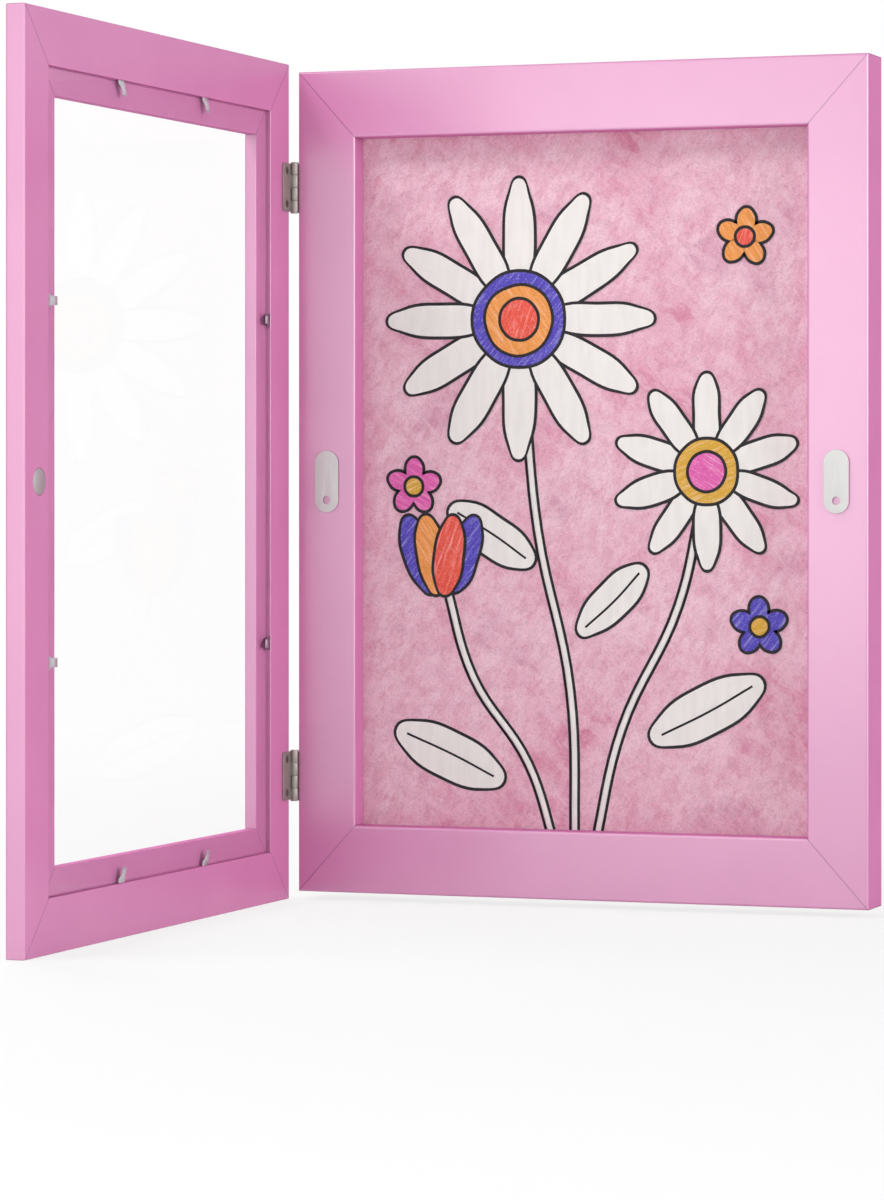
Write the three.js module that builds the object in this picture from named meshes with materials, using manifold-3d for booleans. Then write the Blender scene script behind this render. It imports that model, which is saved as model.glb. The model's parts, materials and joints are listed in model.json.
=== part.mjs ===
// Front-opening art frame for children's drawings: a deep main frame that keeps a stack of
// sheets behind its lip, and a glazed door on two butt hinges that a magnet holds shut.
// Lengths are in millimetres. +X is right, +Y is back towards the wall, +Z is up.
// The origin is the middle of the bottom rail's back face. The door stands open.
import * as THREE from 'three';
import { mergeVertices } from 'three/addons/utils/BufferGeometryUtils.js';
import Module from 'manifold-3d';

const wasm = await Module();
wasm.setup();

// Driving dimensions of the main frame
const mainHeight = 338;
const mainWidth = 242.8;
const mainDepth = 20.7;
const railWidth = 27.6;
const stileWidth = 25;
const lipDepth = 9.6;
const rebateShare = 0.614;

// Driving dimensions of the door
const doorOverlapEnds = 3.15;
const doorOverlapFree = 2;
const doorThickness = 7.85;
const doorRailWidth = 30.9;
const doorStileWidth = 29.3;
const doorFlatShare = 0.667;
const paneRebateDepth = 2.75;
const doorOpenAngle = Math.PI / 2;

// Edges and seams of the painted mouldings
const frontRound = 0.9;
const innerRound = 0.3;
const backRound = 0.5;
const roundSteps = 3;
const edgeRoundSteps = 2;
const mitreSeam = 0.1;

// Clearances
const fastenerClearance = 0.15;
const seatGap = 0.1;
const paneSeatGap = 0.2;
const paneEdgeClearance = 0.5;
const overrun = 1;

// Sheets, filler and backboard in the main frame's pocket
const sheetSideClearance = 1.05;
const sheetHeadroom = 7;
const displaySheetThickness = 0.3;
const storedStackThickness = 2;
const fillerInset = 1.5;
const backboardThickness = 3;
const backboardRecess = 2;
const backboardEdgeClearance = 0.5;

// Pane
const paneThickness = 1.5;

// Glazing points and back points
const pointWidth = 5.4;
const pointTipShare = 0.62;
const pointThickness = 0.4;
const pointReach = 6;
const pointEmbed = 4;
const pointStraight = 1.4;
const pointRise = 1.2;
const doorRailPointOffset = 39;
const doorStilePointOffset = 66;
const mainStilePointOffset = 96;

// Corner nails, driven across the mitres from behind
const nailLeg = 6.5;
const nailSheet = 0.6;
const mainNailHeight = 10;
const mainNailApexShare = 0.46;
const doorNailHeight = 3.4;
const doorNailApexShare = 0.42;
const doorNailCover = 1.6;

// Hinges
const barrelRadius = 1.7;
const barrelClearance = 0.15;
const barrelHeight = 21.2;
const knuckleCount = 4;
const knuckleGap = 0.1;
const pinRadius = 0.8;
const pinClearance = 0.05;
const leafThickness = 0.8;
const leafSeatGap = 0.05;
const leafReach = 9.2;
const leafEndInset = 0.65;
const leafCornerRound = 1.5;
const leafClearance = 0.2;
const hingeCentreHeight = 121.3;
const doorEdgeFromAxis = 1.3;

// Hinge screws
const screwReach = 5.4;
const screwFromLeafEnd = 3.1;
const screwHeadRadius = 1.6;
const screwHeadHeight = 0.8;
const screwShankRadius = 0.8;
const screwLength = 5.6;
const screwTip = 1.2;
const screwSlotLength = 2;
const screwSlotWidth = 0.4;
const screwSlotDepth = 0.4;

// Magnet and the two strike plates
const magnetRadius = 5;
const magnetThickness = 3;
const magnetProud = 0.1;
const magnetClearance = 0.15;
const magnetFromFreeEdge = 11.8;
const strikeAirGap = 0.3;
const strikeWidth = 10.2;
const strikeHeight = 25.4;
const strikeThickness = 0.9;
const strikeEdgeRound = 0.2;
const strikePadThickness = 0.3;
const strikePadInset = 0.6;
const strikeHoleRadius = 1.65;
const strikeHoleDrop = 7.6;
const strikeFromEdge = 12.8;

// Sawtooth hangers on the back, one for each way up
const hangerLength = 46;
const hangerHeight = 8.5;
const hangerSheet = 0.8;
const hangerOffset = 1.4;
const hangerEndLength = 7;
const hangerSlope = 2;
const hangerToothCount = 9;
const hangerToothDepth = 1.6;
const hangerNailInset = 3.2;
const hangerNailRadius = 0.6;
const hangerNailLength = 7;
const hangerNailHeadRadius = 1.4;
const hangerNailHeadHeight = 0.6;

// Sizes that follow from the driving dimensions
const railBackWidth = railWidth * rebateShare;
const stileBackWidth = stileWidth * rebateShare;
const pocketHeight = mainHeight - 2 * railBackWidth;
const pocketWidth = mainWidth - 2 * stileBackWidth;
const frontPlane = -mainDepth;
const lipPlane = frontPlane + lipDepth;
const leafOffset = barrelRadius + barrelClearance;
const closedGap = strikePadThickness + strikeThickness + magnetProud + strikeAirGap;
const axisX = -mainWidth / 2 - leafOffset;
const axisY = frontPlane + leafOffset - closedGap;
const leafHeight = barrelHeight - 2 * leafEndInset;
const screwSpacing = leafHeight - 2 * screwFromLeafEnd;
const doorHeight = mainHeight + 2 * doorOverlapEnds;
const doorFreeEdge = leafOffset + mainWidth + doorOverlapFree;
const doorWidth = doorFreeEdge - doorEdgeFromAxis;
const doorMiddle = (doorFreeEdge + doorEdgeFromAxis) / 2;
const doorInnerFace = -leafOffset;
const doorOuterFace = doorInnerFace - doorThickness;
const doorLedge = doorInnerFace - paneRebateDepth;
const doorRailFlat = doorRailWidth * doorFlatShare;
const doorStileFlat = doorStileWidth * doorFlatShare;

// Flats around each round piece
const roundness = {
  barrel: 40,
  pin: 20,
  screw: 16,
  magnet: 36,
  strike: 32,
};

const finishes = {
  paint: { color: '#e3a5cf', roughness: 0.5, metalness: 0 },
  board: { color: '#9a7450', roughness: 0.85, metalness: 0 },
  sheet: { color: '#dd8fb2', roughness: 0.9, metalness: 0 },
  paper: { color: '#f2efe8', roughness: 0.9, metalness: 0 },
  card: { color: '#c2a27a', roughness: 0.9, metalness: 0 },
  pane: { color: '#f4fbff', roughness: 0.03, metalness: 0 },
  steel: { color: '#a9aca9', roughness: 0.32, metalness: 1 },
  point: { color: '#c9c6cc', roughness: 0.35, metalness: 1 },
  strike: { color: '#dedfdd', roughness: 0.4, metalness: 0.3 },
  magnet: { color: '#9e9fa0', roughness: 0.4, metalness: 1 },
  pad: { color: '#e8e8e4', roughness: 0.8, metalness: 0 },
  zinc: { color: '#b9b7ae', roughness: 0.4, metalness: 1 },
};

// Solid helpers

function solidOf(geometry) {
  const bare = geometry.clone();
  bare.deleteAttribute('normal');
  bare.deleteAttribute('uv');
  const merged = mergeVertices(bare);
  const index = merged.getIndex().array;
  const kept = [];
  for (let i = 0; i < index.length; i += 3) {
    const [a, b, c] = [index[i], index[i + 1], index[i + 2]];
    if (a !== b && b !== c && c !== a) kept.push(a, b, c);
  }
  return new wasm.Manifold(new wasm.Mesh({
    numProp: 3,
    vertProperties: new Float32Array(merged.getAttribute('position').array),
    triVerts: new Uint32Array(kept),
  }));
}

function geometryOf(solid) {
  const mesh = solid.getMesh();
  const indexed = new THREE.BufferGeometry();
  indexed.setAttribute('position', new THREE.BufferAttribute(mesh.vertProperties, 3));
  indexed.setIndex(new THREE.BufferAttribute(mesh.triVerts, 1));
  const geometry = indexed.toNonIndexed();
  geometry.computeVertexNormals();
  return geometry;
}

function joined(solids) {
  return solids.reduce((sum, solid) => sum.add(solid));
}

function boxSolid(low, high) {
  const [width, depth, height] = [0, 1, 2].map((i) => high[i] - low[i]);
  const geometry = new THREE.BoxGeometry(width, depth, height);
  geometry.translate((low[0] + high[0]) / 2, (low[1] + high[1]) / 2, (low[2] + high[2]) / 2);
  return solidOf(geometry);
}

// A prism on a face: the shape's y becomes height, and it stands forward of its back plane.
function facePrism(shape, thickness, backPlane, curveSegments = roundSteps, edgeRound = 0) {
  const geometry = new THREE.ExtrudeGeometry(shape, {
    depth: thickness - 2 * edgeRound,
    curveSegments,
    bevelEnabled: edgeRound > 0,
    bevelThickness: edgeRound,
    bevelSize: edgeRound,
    bevelOffset: -edgeRound,
    bevelSegments: edgeRoundSteps,
  });
  geometry.translate(0, 0, edgeRound);
  geometry.rotateX(Math.PI / 2);
  geometry.translate(0, backPlane, 0);
  return geometry;
}

// A closed outline through corners given as [x, y, radius].
function roundedOutline(corners) {
  const shape = new THREE.Shape();
  const count = corners.length;
  corners.forEach(([x, y, radius], i) => {
    const before = corners[(i + count - 1) % count];
    const after = corners[(i + 1) % count];
    const corner = new THREE.Vector2(x, y);
    const inward = new THREE.Vector2(before[0] - x, before[1] - y).setLength(radius).add(corner);
    const outward = new THREE.Vector2(after[0] - x, after[1] - y).setLength(radius).add(corner);
    if (i === 0) shape.moveTo(inward.x, inward.y);
    else shape.lineTo(inward.x, inward.y);
    if (radius > 0) shape.quadraticCurveTo(x, y, outward.x, outward.y);
  });
  shape.closePath();
  return shape;
}

// Mitred mouldings

// The section runs in from the outer edge along x, and back from the face along y.
function mouldingSection(width, backWidth, stepDepth, depth) {
  return roundedOutline([
    [0, 0, frontRound],
    [width, 0, frontRound],
    [width, stepDepth, innerRound],
    [backWidth, stepDepth, 0],
    [backWidth, depth, innerRound],
    [0, depth, backRound],
  ]);
}

// A moulding with its outer edge along +Z, its face towards -Y and both ends mitred.
function mitredMoulding(section, length, mitreSlope) {
  const geometry = new THREE.ExtrudeGeometry(section, {
    depth: 1,
    bevelEnabled: false,
    curveSegments: roundSteps,
  });
  const position = geometry.getAttribute('position');
  for (let i = 0; i < position.count; i += 1) {
    const inFromEdge = position.getX(i);
    const halfLength = length / 2 - inFromEdge * mitreSlope - mitreSeam / 2;
    const side = position.getZ(i) > 0 ? 1 : -1;
    position.setXYZ(i, side * halfLength, position.getY(i), -inFromEdge);
  }
  return geometry;
}

// The four mouldings of a rectangular frame, centred, with their face on the given plane.
function mitredFrame({ width, height, rail, stile, facePlane, leftName, rightName }) {
  const railEnds = { part: rail, length: width, slope: stile.width / rail.width };
  const stileEnds = { part: stile, length: height, slope: rail.width / stile.width };
  const sides = [
    { ...railEnds, name: 'top_rail', turn: 0, x: 0, z: height / 2 },
    { ...railEnds, name: 'bottom_rail', turn: Math.PI, x: 0, z: -height / 2 },
    { ...stileEnds, name: rightName, turn: Math.PI / 2, x: width / 2, z: 0 },
    { ...stileEnds, name: leftName, turn: -Math.PI / 2, x: -width / 2, z: 0 },
  ];
  return sides.map(({ name, part, length, slope, turn, x, z }) => {
    const geometry = mitredMoulding(part.section, length, slope);
    geometry.rotateY(turn);
    geometry.translate(x, facePlane, z);
    return { name, solid: solidOf(geometry) };
  });
}

// Small parts

// One bent tab: it is driven into the wall at x = 0 and reaches out along +X.
// Its lower face is at y = 0, and y grows towards the viewer of the glazed side.
function pointSolid(rise) {
  const outline = roundedOutline([
    [-pointEmbed, 0, 0],
    [pointStraight, 0, 0],
    [pointReach, rise, 0],
    [pointReach, rise + pointThickness, 0],
    [pointStraight, pointThickness, 0],
    [-pointEmbed, pointThickness, 0],
  ]);
  const geometry = new THREE.ExtrudeGeometry(outline, { depth: 1, bevelEnabled: false });
  const position = geometry.getAttribute('position');
  for (let i = 0; i < position.count; i += 1) {
    const x = position.getX(i);
    const tipShare = x > pointStraight ? pointTipShare : 1;
    const side = position.getZ(i) > 0 ? 1 / 2 : -1 / 2;
    position.setZ(i, side * pointWidth * tipShare);
  }
  return solidOf(geometry);
}

function pointSlot() {
  const halfWidth = pointWidth / 2 + fastenerClearance;
  return boxSolid(
    [-pointEmbed - fastenerClearance, -fastenerClearance, -halfWidth],
    [overrun, pointThickness + fastenerClearance, halfWidth],
  );
}

// Places for points around an opening: on its walls, at the offsets given along each side.
function pointPlaces(openingWidth, openingHeight, railOffsets, stileOffsets) {
  const onRails = [1, -1].flatMap((end) => railOffsets.map((offset) => (
    { turn: end * Math.PI / 2, x: offset, z: end * openingHeight / 2 }
  )));
  const onStiles = [1, -1].flatMap((side) => stileOffsets.map((offset) => (
    { turn: side > 0 ? Math.PI : 0, x: side * openingWidth / 2, z: offset }
  )));
  return [...onRails, ...onStiles];
}

function placedAtWall(solid, { turn, x, z }, y) {
  return solid.rotate([0, THREE.MathUtils.radToDeg(turn), 0]).translate([x, y, z]);
}

// An angle nail across a corner's mitre, with one leg in each moulding.
function cornerNail({ sideX, sideZ, apexX, apexZ, low, high, grow }) {
  const halfSheet = nailSheet / 2 + grow;
  const spans = [[nailLeg + grow, halfSheet], [halfSheet, nailLeg + grow]];
  return joined(spans.map(([reachX, reachZ]) => {
    const [farX, farZ] = [apexX + sideX * reachX, apexZ + sideZ * reachZ];
    const [nearX, nearZ] = [apexX - sideX * halfSheet, apexZ - sideZ * halfSheet];
    return boxSolid(
      [Math.min(nearX, farX), low - grow, Math.min(nearZ, farZ)],
      [Math.max(nearX, farX), high + grow, Math.max(nearZ, farZ)],
    );
  }));
}

// The nails of the four corners, the left two first.
function cornerNails({ width, height, middle, rail, stile, apexShare, low, high, grow = 0 }) {
  const nails = [];
  for (const sideX of [-1, 1]) {
    for (const sideZ of [-1, 1]) {
      const apexX = middle + sideX * (width / 2 - stile * apexShare);
      const apexZ = sideZ * (height / 2 - rail * apexShare);
      nails.push(cornerNail({ sideX, sideZ, apexX, apexZ, low, high, grow }));
    }
  }
  return nails;
}

// A turned solid about +Y, from [radius, y] points that run upwards.
function turnedSolid(points, segments) {
  const profile = points.map(([x, y]) => new THREE.Vector2(x, y));
  return solidOf(new THREE.LatheGeometry(profile, segments));
}

// Hinges, in leaf space: the axis is Z, the leaf lies along +X and its wood side faces -Y

const leafWoodSide = -leafOffset + leafSeatGap;
const leafShownSide = leafWoodSide + leafThickness;

function screwSolid() {
  const body = turnedSolid([
    [0, -screwLength],
    [screwShankRadius, -screwLength + screwTip],
    [screwShankRadius, -screwHeadHeight],
    [screwHeadRadius, 0],
    [0, 0],
  ], roundness.screw);
  const halfLength = screwSlotLength / 2;
  const halfWidth = screwSlotWidth / 2;
  const across = boxSolid(
    [-halfLength, -screwSlotDepth, -halfWidth],
    [halfLength, overrun, halfWidth],
  );
  const along = boxSolid(
    [-halfWidth, -screwSlotDepth, -halfLength],
    [halfWidth, overrun, halfLength],
  );
  return body.subtract(across).subtract(along);
}

function screwHole() {
  const grow = fastenerClearance;
  return turnedSolid([
    [0, -screwLength - grow],
    [screwShankRadius + grow, -screwLength - grow + screwTip],
    [screwShankRadius + grow, -screwHeadHeight - grow],
    [screwHeadRadius + grow, 0],
    [screwHeadRadius + grow, overrun],
    [0, overrun],
  ], roundness.screw);
}

function leafScrewPair(solid) {
  return [1, -1].map((end) => (
    solid.translate([screwReach, leafShownSide, end * screwSpacing / 2])
  ));
}

function knuckleSpan(row) {
  const pitch = barrelHeight / knuckleCount;
  const top = barrelHeight / 2 - row * pitch - knuckleGap / 2;
  return { top, bottom: top - pitch + knuckleGap };
}

function knuckle({ top, bottom }) {
  const ring = new THREE.Shape();
  ring.absarc(0, 0, barrelRadius, 0, 2 * Math.PI);
  const bore = new THREE.Path();
  bore.absarc(0, 0, pinRadius + pinClearance, 0, 2 * Math.PI, true);
  ring.holes.push(bore);
  const tube = new THREE.ExtrudeGeometry(ring, {
    depth: top - bottom,
    bevelEnabled: false,
    curveSegments: roundness.barrel / 2,
  });
  tube.translate(0, 0, bottom);
  return solidOf(tube);
}

function hingeLeaf(rows) {
  const start = Math.sqrt(barrelRadius ** 2 - leafShownSide ** 2) + leafClearance;
  const halfHeight = leafHeight / 2;
  const plate = solidOf(facePrism(roundedOutline([
    [start, -halfHeight, 0],
    [leafReach, -halfHeight, leafCornerRound],
    [leafReach, halfHeight, leafCornerRound],
    [start, halfHeight, 0],
  ]), leafThickness, leafShownSide));
  const boreSolid = turnedSolid([
    [0, -barrelHeight],
    [pinRadius + pinClearance, -barrelHeight],
    [pinRadius + pinClearance, barrelHeight],
    [0, barrelHeight],
  ], roundness.barrel).rotate([90, 0, 0]);
  const webs = rows.map(knuckleSpan).map(({ top, bottom }) => boxSolid(
    [0, leafWoodSide, bottom],
    [start + leafClearance, leafShownSide, top],
  ));
  const tubes = rows.map(knuckleSpan).map(knuckle);
  return joined([plate, ...webs])
    .subtract(boreSolid)
    .add(joined(tubes))
    .subtract(joined(leafScrewPair(screwHole())));
}

function hingePin() {
  const geometry = new THREE.CylinderGeometry(pinRadius, pinRadius, barrelHeight, roundness.pin);
  geometry.rotateX(Math.PI / 2);
  return solidOf(geometry);
}

const doorRows = [0, 2];
const frameRows = [1, 3];
const hinges = [
  { name: 'upper_hinge', height: hingeCentreHeight },
  { name: 'lower_hinge', height: -hingeCentreHeight },
];

// Leaf space to the main frame: the leaf lies back along its left side.
function onFrameSide(solid, height) {
  return solid.rotate([0, 0, 90]).translate([axisX, axisY, height]);
}

// Hangers

// Back space: the strip's length is X, it stands out of the wood along +Y, its teeth face -Z.
function hangerStrip() {
  const half = hangerLength / 2;
  const flatEnd = half - hangerEndLength;
  const raised = flatEnd - hangerSlope;
  const side = new THREE.Shape([
    [-half, 0],
    [-flatEnd, 0],
    [-raised, hangerOffset],
    [raised, hangerOffset],
    [flatEnd, 0],
    [half, 0],
    [half, hangerSheet],
    [flatEnd, hangerSheet],
    [raised, hangerOffset + hangerSheet],
    [-raised, hangerOffset + hangerSheet],
    [-flatEnd, hangerSheet],
    [-half, hangerSheet],
  ].map(([x, y]) => new THREE.Vector2(x, y)));
  const strip = new THREE.ExtrudeGeometry(side, { depth: hangerHeight, bevelEnabled: false });
  strip.translate(0, 0, -hangerHeight / 2);
  const pitch = 2 * raised / hangerToothCount;
  const teeth = [];
  for (let i = 0; i < hangerToothCount; i += 1) {
    const left = -raised + i * pitch;
    teeth.push([left, -hangerHeight / 2]);
    teeth.push([left + pitch / 2, -hangerHeight / 2 + hangerToothDepth]);
  }
  teeth.push([raised, -hangerHeight / 2]);
  const outline = new THREE.Shape([
    [-half, -hangerHeight / 2], ...teeth, [half, -hangerHeight / 2],
    [half, hangerHeight / 2], [-half, hangerHeight / 2],
  ].map(([x, y]) => new THREE.Vector2(x, y)));
  const reach = hangerOffset + hangerSheet + overrun;
  const outlinePrism = solidOf(facePrism(outline, reach + overrun, reach));
  return solidOf(strip).intersect(outlinePrism);
}

function hangerNail(grow = 0) {
  return turnedSolid([
    [0, -hangerNailLength - grow],
    [hangerNailRadius + grow, -hangerNailLength - grow + hangerNailRadius],
    [hangerNailRadius + grow, grow > 0 ? overrun : 0],
    ...(grow > 0 ? [] : [[hangerNailHeadRadius, 0], [hangerNailHeadRadius, hangerNailHeadHeight]]),
    [0, grow > 0 ? overrun : hangerNailHeadHeight],
  ], roundness.screw);
}

function hangerNailPair(grow) {
  const reach = hangerLength / 2 - hangerNailInset;
  return [-1, 1].map((end) => hangerNail(grow).translate([end * reach, hangerSheet + seatGap, 0]));
}

const hangers = [
  { name: 'portrait_hanger', turn: 0, x: 0, z: mainHeight / 2 - railBackWidth / 2 },
  { name: 'landscape_hanger', turn: -90, x: -mainWidth / 2 + stileBackWidth / 2, z: 0 },
];

function onBack(solid, { turn, x, z }) {
  return solid.rotate([0, turn, 0]).translate([x, 0, z]);
}

// Strike plates

function pillShape(width, height, holeRadius) {
  const radius = width / 2;
  const straight = height / 2 - radius;
  const shape = new THREE.Shape();
  shape.absarc(0, straight, radius, 0, Math.PI);
  shape.absarc(0, -straight, radius, Math.PI, 2 * Math.PI);
  shape.closePath();
  const hole = new THREE.Path();
  hole.absarc(0, -strikeHoleDrop, holeRadius, 0, 2 * Math.PI, true);
  shape.holes.push(hole);
  return shape;
}

function strikePlate(x) {
  const shape = pillShape(strikeWidth, strikeHeight, strikeHoleRadius);
  const backPlane = frontPlane - strikePadThickness;
  const steps = roundness.strike / 2;
  const geometry = facePrism(shape, strikeThickness, backPlane, steps, strikeEdgeRound);
  return solidOf(geometry).translate([x, 0, 0]);
}

function strikePad(x) {
  const inset = 2 * strikePadInset;
  const holeRadius = strikeHoleRadius + strikePadInset;
  const shape = pillShape(strikeWidth - inset, strikeHeight - inset, holeRadius);
  const geometry = facePrism(shape, strikePadThickness, frontPlane, roundness.strike / 2);
  return solidOf(geometry).translate([x, 0, 0]);
}

// Assembly

const artFrame = new THREE.Group();
artFrame.position.z = mainHeight / 2 - railBackWidth / 2;
const door = new THREE.Group();
door.position.set(axisX, axisY, 0);
door.rotation.z = -doorOpenAngle;
artFrame.add(door);

function addPiece(parent, name, solid, finish) {
  const mesh = new THREE.Mesh(geometryOf(solid), new THREE.MeshStandardMaterial(finishes[finish]));
  mesh.name = name;
  parent.add(mesh);
}

function buildMainFrame() {
  const nails = {
    width: mainWidth,
    height: mainHeight,
    middle: 0,
    rail: railWidth,
    stile: stileWidth,
    apexShare: mainNailApexShare,
    low: -mainNailHeight,
    high: 0,
  };
  const boardBack = -backboardRecess;
  const stileOffsets = [mainStilePointOffset, -mainStilePointOffset];
  const places = pointPlaces(pocketWidth, pocketHeight, [0], stileOffsets);
  const pointPlane = boardBack + seatGap;
  const cutters = joined([
    ...cornerNails({ ...nails, grow: fastenerClearance }),
    ...places.map((place) => placedAtWall(pointSlot(), place, pointPlane)),
    ...hinges.flatMap(({ height }) => (
      leafScrewPair(screwHole()).map((hole) => onFrameSide(hole, height))
    )),
    ...hangers.flatMap((place) => (
      hangerNailPair(fastenerClearance).map((hole) => onBack(hole, place))
    )),
  ]);
  const mouldings = mitredFrame({
    width: mainWidth,
    height: mainHeight,
    rail: {
      width: railWidth,
      section: mouldingSection(railWidth, railBackWidth, lipDepth, mainDepth),
    },
    stile: {
      width: stileWidth,
      section: mouldingSection(stileWidth, stileBackWidth, lipDepth, mainDepth),
    },
    facePlane: frontPlane,
    leftName: 'left_stile',
    rightName: 'right_stile',
  });
  for (const { name, solid } of mouldings) {
    addPiece(artFrame, `frame_${name}`, solid.subtract(cutters), 'paint');
  }
  cornerNails(nails).forEach((nail, i) => {
    addPiece(artFrame, `frame_corner_nail_${i + 1}`, nail, 'zinc');
  });
  places.forEach((place, i) => {
    addPiece(artFrame, `back_point_${i + 1}`, placedAtWall(pointSolid(0), place, pointPlane), 'point');
  });
}

function buildPocket() {
  const floor = -pocketHeight / 2 + seatGap;
  const sheetTop = pocketHeight / 2 - sheetHeadroom;
  const sheetHalf = pocketWidth / 2 - sheetSideClearance;
  const fillerHalf = sheetHalf - fillerInset;
  const boardHalf = pocketWidth / 2 - backboardEdgeClearance;
  const boardTop = pocketHeight / 2 - backboardEdgeClearance;
  const displayFront = lipPlane + seatGap;
  const storedFront = displayFront + displaySheetThickness;
  const fillerFront = storedFront + storedStackThickness;
  const boardBack = -backboardRecess;
  const boardFront = boardBack - backboardThickness;
  const layers = [
    { name: 'display_sheet', half: sheetHalf, from: displayFront, to: storedFront, finish: 'sheet' },
    { name: 'stored_sheets', half: sheetHalf, from: storedFront, to: fillerFront, finish: 'paper' },
    { name: 'filler_card', half: fillerHalf, from: fillerFront, to: boardFront, finish: 'card' },
  ];
  for (const { name, half, from, to, finish } of layers) {
    addPiece(artFrame, name, boxSolid([-half, from, floor], [half, to, sheetTop]), finish);
  }
  const board = boxSolid([-boardHalf, boardFront, floor], [boardHalf, boardBack, boardTop]);
  addPiece(artFrame, 'backboard', board, 'board');
}

function buildStrikes() {
  for (const [side, name] of [[-1, 'left'], [1, 'right']]) {
    const x = side * (mainWidth / 2 - strikeFromEdge);
    addPiece(artFrame, `${name}_strike_pad`, strikePad(x), 'pad');
    addPiece(artFrame, `${name}_strike_plate`, strikePlate(x), 'strike');
  }
}

function buildHangers() {
  for (const place of hangers) {
    const drilled = hangerStrip().subtract(joined(hangerNailPair(fastenerClearance)));
    addPiece(artFrame, place.name, onBack(drilled.translate([0, seatGap / 2, 0]), place), 'zinc');
    hangerNailPair(0).forEach((nail, i) => {
      addPiece(artFrame, `${place.name}_nail_${i + 1}`, onBack(nail, place), 'zinc');
    });
  }
}

function buildHinges() {
  for (const { name, height } of hinges) {
    addPiece(artFrame, `${name}_frame_leaf`, onFrameSide(hingeLeaf(frameRows), height), 'steel');
    addPiece(artFrame, `${name}_pin`, hingePin().translate([axisX, axisY, height]), 'steel');
    addPiece(door, `${name}_door_leaf`, hingeLeaf(doorRows).translate([0, 0, height]), 'steel');
    leafScrewPair(screwSolid()).forEach((screw, i) => {
      addPiece(artFrame, `${name}_frame_screw_${i + 1}`, onFrameSide(screw, height), 'steel');
      addPiece(door, `${name}_door_screw_${i + 1}`, screw.translate([0, 0, height]), 'steel');
    });
  }
}

function buildDoor() {
  const magnetX = doorFreeEdge - magnetFromFreeEdge;
  const magnetSeat = doorInnerFace + magnetProud - magnetThickness;
  const nails = {
    width: doorWidth,
    height: doorHeight,
    middle: doorMiddle,
    rail: doorRailWidth,
    stile: doorStileWidth,
    apexShare: doorNailApexShare,
    low: doorInnerFace - doorNailCover - doorNailHeight,
    high: doorInnerFace - doorNailCover,
  };
  const openingWidth = doorWidth - 2 * doorStileFlat;
  const openingHeight = doorHeight - 2 * doorRailFlat;
  const railOffsets = [doorRailPointOffset, -doorRailPointOffset];
  const stileOffsets = [doorStilePointOffset, -doorStilePointOffset];
  const places = pointPlaces(openingWidth, openingHeight, railOffsets, stileOffsets)
    .map((place) => ({ ...place, x: place.x + doorMiddle }));
  const paneLow = doorLedge + paneSeatGap;
  const paneHigh = paneLow + paneThickness;
  const pointPlane = paneHigh + seatGap;
  const magnetBore = turnedSolid([
    [0, magnetSeat - magnetClearance],
    [magnetRadius + magnetClearance, magnetSeat - magnetClearance],
    [magnetRadius + magnetClearance, overrun],
    [0, overrun],
  ], roundness.magnet);
  const magnet = turnedSolid([
    [0, magnetSeat],
    [magnetRadius, magnetSeat],
    [magnetRadius, magnetSeat + magnetThickness],
    [0, magnetSeat + magnetThickness],
  ], roundness.magnet);
  const cutters = joined([
    ...cornerNails({ ...nails, grow: fastenerClearance }),
    ...places.map((place) => placedAtWall(pointSlot(), place, pointPlane)),
    ...hinges.flatMap(({ height }) => (
      leafScrewPair(screwHole()).map((hole) => hole.translate([0, 0, height]))
    )),
    magnetBore.translate([magnetX, 0, 0]),
  ]);
  const stepDepth = doorThickness - paneRebateDepth;
  const mouldings = mitredFrame({
    width: doorWidth,
    height: doorHeight,
    rail: {
      width: doorRailWidth,
      section: mouldingSection(doorRailWidth, doorRailFlat, stepDepth, doorThickness),
    },
    stile: {
      width: doorStileWidth,
      section: mouldingSection(doorStileWidth, doorStileFlat, stepDepth, doorThickness),
    },
    facePlane: doorOuterFace,
    leftName: 'hinge_stile',
    rightName: 'free_stile',
  });
  for (const { name, solid } of mouldings) {
    addPiece(door, `door_${name}`, solid.translate([doorMiddle, 0, 0]).subtract(cutters), 'paint');
  }
  cornerNails(nails).forEach((nail, i) => {
    addPiece(door, `door_corner_nail_${i + 1}`, nail, 'zinc');
  });
  const paneHalfWidth = openingWidth / 2 - paneEdgeClearance;
  const paneHalfHeight = openingHeight / 2 - paneEdgeClearance;
  const pane = boxSolid(
    [doorMiddle - paneHalfWidth, paneLow, -paneHalfHeight],
    [doorMiddle + paneHalfWidth, paneHigh, paneHalfHeight],
  );
  addPiece(door, 'glazing_pane', pane, 'pane');
  places.forEach((place, i) => {
    const point = placedAtWall(pointSolid(pointRise), place, pointPlane);
    addPiece(door, `glazing_point_${i + 1}`, point, 'point');
  });
  addPiece(door, 'magnet', magnet.translate([magnetX, 0, 0]), 'magnet');
}

buildMainFrame();
buildPocket();
buildStrikes();
buildHangers();
buildHinges();
buildDoor();

export default artFrame;
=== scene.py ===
"""Dresses the front-opening art frame: paint, painted sheet, drawing, fittings, boards and studio."""
import json
import math

import bmesh
import bpy
from mathutils import Matrix, Vector


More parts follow.
